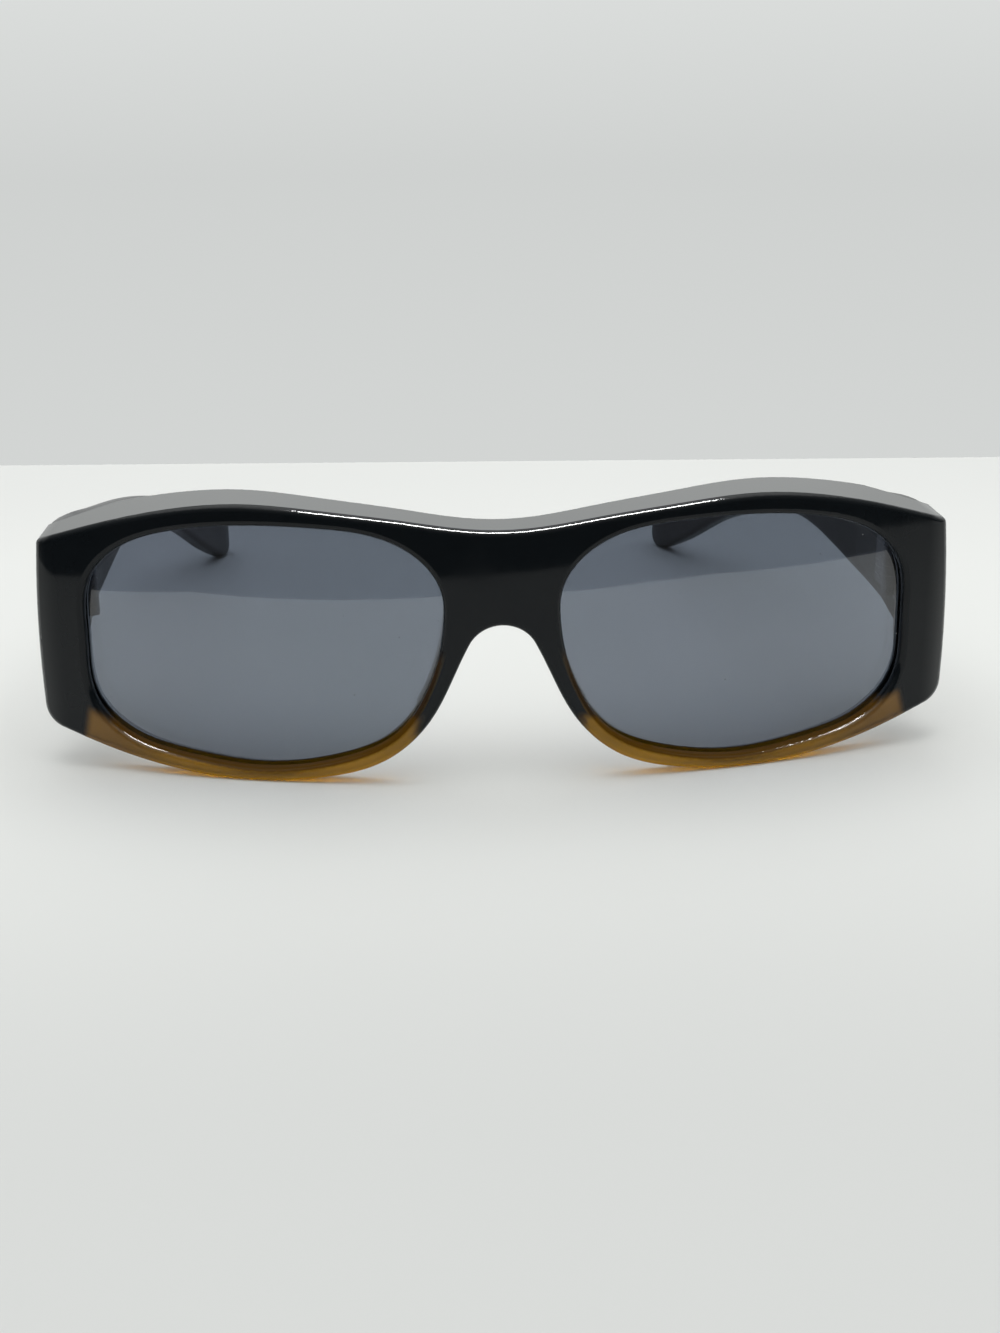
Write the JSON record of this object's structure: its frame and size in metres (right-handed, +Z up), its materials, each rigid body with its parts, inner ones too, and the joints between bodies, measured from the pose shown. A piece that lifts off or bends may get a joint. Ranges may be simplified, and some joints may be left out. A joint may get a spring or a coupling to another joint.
{
  "type": "fit-over sunglasses",
  "caption": "Wrap-around sunglasses worn over spectacles, with a moulded black front fading to amber at the lower rims, smoke lenses and folding temples.",
  "frame": {"origin": "on the surface that the glasses stand on, below the middle of the bounding box with the temples as pictured", "axes": "+Z up, -Y the way the lenses face, +X towards the wearer's left temple"},
  "size_m": [0.1428, 0.1412, 0.0436],
  "materials": {
    "front_plastic": "gloss black, fading to translucent amber brown at the lower rims",
    "temple_plastic": "gloss black",
    "lens_plastic": "polished grey smoke tint",
    "hinge_steel": "satin stamped steel",
    "screw_steel": "turned steel"
  },
  "bodies": {
    "front": {"front_frame": "front_plastic", "lens_left": "lens_plastic", "lens_right": "lens_plastic", "front_hinge_left": "hinge_steel", "front_hinge_right": "hinge_steel", "hinge_screw_left": "screw_steel", "hinge_screw_right": "screw_steel"},
    "left_arm": {"temple_left": "temple_plastic", "temple_hinge_left": "hinge_steel"},
    "right_arm": {"temple_right": "temple_plastic", "temple_hinge_right": "hinge_steel"}
  },
  "joints": [
    {"name": "left_hinge", "type": "hinge", "parent": "front", "child": "left_arm", "pos_m": [0.0644, -0.04757, 0.02595], "axis": [0, 0, 1], "range_deg": [-6, 76]},
    {"name": "right_hinge", "type": "hinge", "parent": "front", "child": "right_arm", "pos_m": [-0.0644, -0.04757, 0.02595], "axis": [0, 0, -1], "range_deg": [0, 88]}
  ]
}
